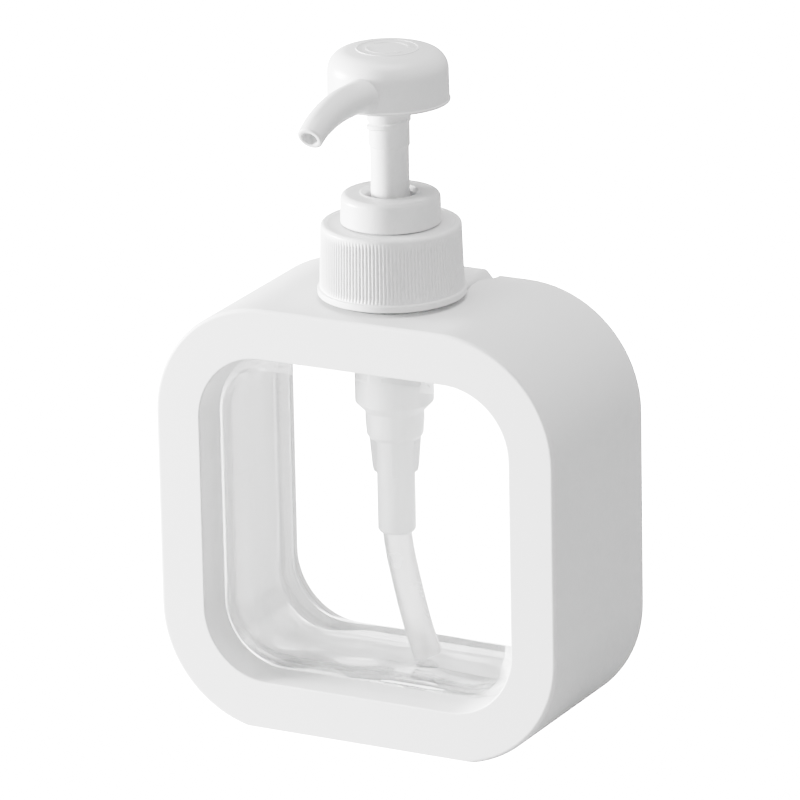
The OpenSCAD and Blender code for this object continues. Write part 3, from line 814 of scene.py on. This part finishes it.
def arc_mark(shell, radius, width, start, end, low, high, arrow=0.0):
    """A raised curved bar on the crown; arrow adds a head of that width at its end."""
    n = 24
    turns = [math.radians(start + (end - start) * k / n) for k in range(n + 1)]
    plan = [(radius - width / 2, a) for a in turns] + [(radius + width / 2, a) for a in turns[::-1]]
    rows = []
    for z, shrink in ((low, 0.0), (high - 0.03, 0.0), (high, 0.04)):
        row = []
        for i, (r, a) in enumerate(plan):
            r += shrink if i <= n else -shrink
            row.append((r * math.cos(a), AXIS_Y + r * math.sin(a), z))
        rows.append(row)
    shell.loft(rows)
    if arrow:
        a, step = math.radians(end), math.copysign(arrow / radius, end - start)
        tips = [(radius - arrow / 2, a), (radius + arrow / 2, a), (radius, a + step)]
        shell.loft([[(r * math.cos(b), AXIS_Y + r * math.sin(b), z) for r, b in tips]
                    for z in (low, high)])


def build_crown_marks():
    """A raised ring on the crown, and plain turning arrows inside it."""
    ring = turned("crown_ring", soften([(6.6, 156.8, 0), (6.6, 157.32, 0.08), (7.1, 157.32, 0.08),
                                        (7.1, 156.8, 0)], detail=4), steps=128)
    shell = Shell()
    for start in (200, 20):
        arc_mark(shell, 4.7, 0.5, start, start + 120, 156.9, 157.36, arrow=1.5)
    merge(ring, shell.make("crown_marks"))
    return ring


def build_head():
    cap = build_cap()
    combine(cap, build_spout(), "UNION")
    return place(cap, PUMP, "plunger", "head", sharp=32)


def build_housing():
    socket = TUBE_R + 0.02
    profile = soften([
        (3.95, 44.6, 0.1), (4.32, 45.2, 0.2), (4.32, 66.9, 0), (5.75, 66.9, 0.3),
        (6.4, 67.8, 0.6), (6.66, 70.8, 0), (6.66, 73.3, 0.3), (CHAMBER_R, 75.6, 0.6),
        (CHAMBER_R, FLANGE_Z, 0), (13.3, FLANGE_Z, 0), (13.3, FLANGE_Z + 1.1, 0.1),
        (9.4, FLANGE_Z + 1.1, 0.1), (9.4, 119.5, 0), (7.9, 119.5, 0), (7.9, 75.9, 0.4),
        (5.7, 73.6, 0.3), (5.7, SPRING_LOW + 1.2, 0), (5.35, SPRING_LOW, 0), (3.35, SPRING_LOW, 0),
        (3.35, 59.8, 0), (1.6, 57.2, 0), (1.6, 55.2, 0), (socket, 55.2, 0), (socket, 44.6, 0)])
    housing = turned("pump_housing", profile, steps=96)
    for k in range(4):
        a = math.radians(25 + 90 * k)
        fin = front_prism("fin", [(3.6, 67.4), (5.9, 67.4), (5.75, 66), (5.25, 60), (4.95, 58.9),
                                  (4.3, 58.4), (3.6, 58.4)], -0.6, 0.6)
        fin.data.transform(Matrix.Translation((0, AXIS_Y * MM, 0)) @ Matrix.Rotation(a, 4, "Z"))
        combine(housing, fin, "UNION")
    return place(housing, RESIN, "pump_body", "housing")


def build_dip_tube():
    route = spline(TUBE, 5)
    shell = Shell()

    def space(u, w, side):
        return (u, AXIS_Y + side, w)

    n = len(route)
    outer = plane_tube(route, [TUBE_R] * n, space)
    inner = plane_tube(route, [TUBE_BORE] * n, space)
    shell.loft(outer + inner[::-1], closed=True)
    return place(shell.make("dip_tube_bent"), TUBING, "pump_body", "dip_tube")


def build_spring():
    coil, wire, turns, per, sides = 4.85, 0.42, 9, 48, 12
    low, high = SPRING_LOW + wire + 0.02, SPRING_HIGH - wire - 0.02
    slope = math.atan((high - low) / (turns * 2 * math.pi * coil))
    rings = []
    for i in range(turns * per + 1):
        a, ring = 2 * math.pi * i / per, []
        for j in range(sides):
            b = 2 * math.pi * j / sides
            r, lift = coil + wire * math.cos(b), wire * math.sin(b)
            ring.append((r * math.cos(a) + lift * math.sin(slope) * math.sin(a),
                         AXIS_Y + r * math.sin(a) - lift * math.sin(slope) * math.cos(a),
                         low + (high - low) * i / (turns * per) + lift * math.cos(slope)))
        rings.append(ring)
    shell = Shell()
    shell.loft(rings)
    spring = place(shell.make("return_spring"), SPRING, "pump_body", "spring")
    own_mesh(spring)
    return spring


# ---- Parts kept as the CAD has them ----

def finish_cad_nodes():
    for node, material, name in (("gasket", FOAM, "seal_foam"), ("piston", RESIN, "natural_pp"),
                                 ("valve_core", PUMP, "pump_white"), ("inlet_ball", BALL, "ball_steel")):
        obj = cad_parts[node]
        obj.data.materials.clear()
        obj.data.materials.append(material)


# ---- Room, lights and camera ----

GLOW = 38.0               # how bright the ground looks, so that it is white also through the bottle
MIRRORED = 6.8            # how bright it is as a reflection inside the bottle
INNER = 0.7               # its strength as a light that reaches matt pieces through the bottle
ROOM_LIGHT, FLOOR_LIGHT = 0.78, 0.0   # its strength as a light everywhere else


def lit_white(tree, tone):
    """A white that glows to the eye, also through clear plastic, and lights the object softly.
    tone is its strength as a light."""
    nodes, links = tree.nodes, tree.links
    path = nodes.new("ShaderNodeLightPath")

    def blend(factor, a, b):
        mix = nodes.new("ShaderNodeMix")
        mix.data_type = "FLOAT"
        links.new(factor, mix.inputs["Factor"])
        for socket, value in (("A", a), ("B", b)):
            if isinstance(value, float):
                mix.inputs[socket].default_value = value
            else:
                links.new(value, mix.inputs[socket])
        return mix.outputs[0]

    inside = reckon(nodes, links, "MULTIPLY", path.outputs["Is Glossy Ray"],
                    path.outputs["Transparent Depth"])
    for depth in ("Diffuse Depth", "Transmission Depth"):
        inside = reckon(nodes, links, "SUBTRACT", inside, path.outputs[depth])
    through = blend(path.outputs["Diffuse Depth"], GLOW, INNER)
    unseen = blend(path.outputs["Is Transmission Ray"], blend(inside, tone, MIRRORED), through)
    return blend(path.outputs["Is Camera Ray"], unseen, GLOW)


def build_room():
    world = bpy.data.worlds.new("studio")
    bpy.context.scene.world = world
    world.use_nodes = True
    tree = world.node_tree
    background = tree.nodes["Background"]
    background.inputs["Color"].default_value = (1, 1, 1, 1)
    tree.links.new(lit_white(tree, ROOM_LIGHT), background.inputs["Strength"])

    shell = Shell()
    angles = [2 * math.pi * k / 64 for k in range(64)]
    rings = [[(r * math.cos(a), r * math.sin(a), 0) for a in angles] for r in (200, 2000, 12000)]
    rows = [shell.ring(r) for r in rings]
    shell.face(rows[0])
    for a, b in zip(rows, rows[1:]):
        shell.bridge(a, b)
    floor = shell.make("floor")
    material, nodes, links, shader = new_material("pale_floor")
    two_tones(nodes, links, shader, noise(nodes, links, 8.0), (0.41, 0.41, 0.41), (0.45, 0.45, 0.45))
    shader.inputs["Roughness"].default_value = 0.9
    shader.inputs["Emission Color"].default_value = (1, 1, 1, 1)
    links.new(lit_white(material.node_tree, FLOOR_LIGHT), shader.inputs["Emission Strength"])
    floor.data.materials.append(material)


def area_light(name, towards, aim_z, distance, size, power):
    """A soft square light, in metres, aimed from this direction at a height on the pump's axis."""
    data = bpy.data.lights.new(name, "AREA")
    data.size, data.energy = size, power
    light = bpy.data.objects.new(name, data)
    bpy.context.scene.collection.objects.link(light)
    back = Vector(towards).normalized()
    light.location = Vector((0, 0, aim_z)) + back * distance
    light.rotation_euler = back.to_track_quat("Z", "Y").to_euler()


def build_lights():
    area_light("key", (-0.95, -0.31, 0.0), 0.08, 1.2, 0.5, 303.0)
    area_light("top", (0.0, -0.05, 1.0), 0.1, 1.6, 0.9, 42.0)


def build_camera():
    """The photograph's viewpoint: from the front right and a little above, with a long lens."""
    azimuth, elevation, roll = (math.radians(v) for v in (27.616, 18.007, -1.137))
    distance, focal = 1.56805, 312.43
    right = Vector((math.cos(azimuth), math.sin(azimuth), 0))
    back = Vector((math.sin(azimuth) * math.cos(elevation), -math.cos(azimuth) * math.cos(elevation),
                   math.sin(elevation)))
    up = back.cross(right)
    leaned = right * math.cos(roll) + up * math.sin(roll)
    top = up * math.cos(roll) - right * math.sin(roll)
    aim = Vector((0, 0, 0.05)) - leaned * 0.000122 + top * 0.023598
    data = bpy.data.cameras.new("camera")
    data.lens, data.sensor_width = focal, 36.0
    data.clip_start, data.clip_end = 0.05, 50.0
    camera = bpy.data.objects.new("camera", data)
    bpy.context.scene.collection.objects.link(camera)
    pose = Matrix((leaned, top, back)).transposed().to_4x4()
    pose.translation = aim + back * distance
    camera.matrix_world = pose
    bpy.context.scene.camera = camera


build_camera()
build_lights()
build_room()
build_casing()
build_cover()
build_bottle()
build_closure()
build_lock_ring()
build_stem()
build_head()
place(build_crown_marks(), PUMP, "plunger")
build_housing()
build_dip_tube()
build_spring()
finish_cad_nodes()
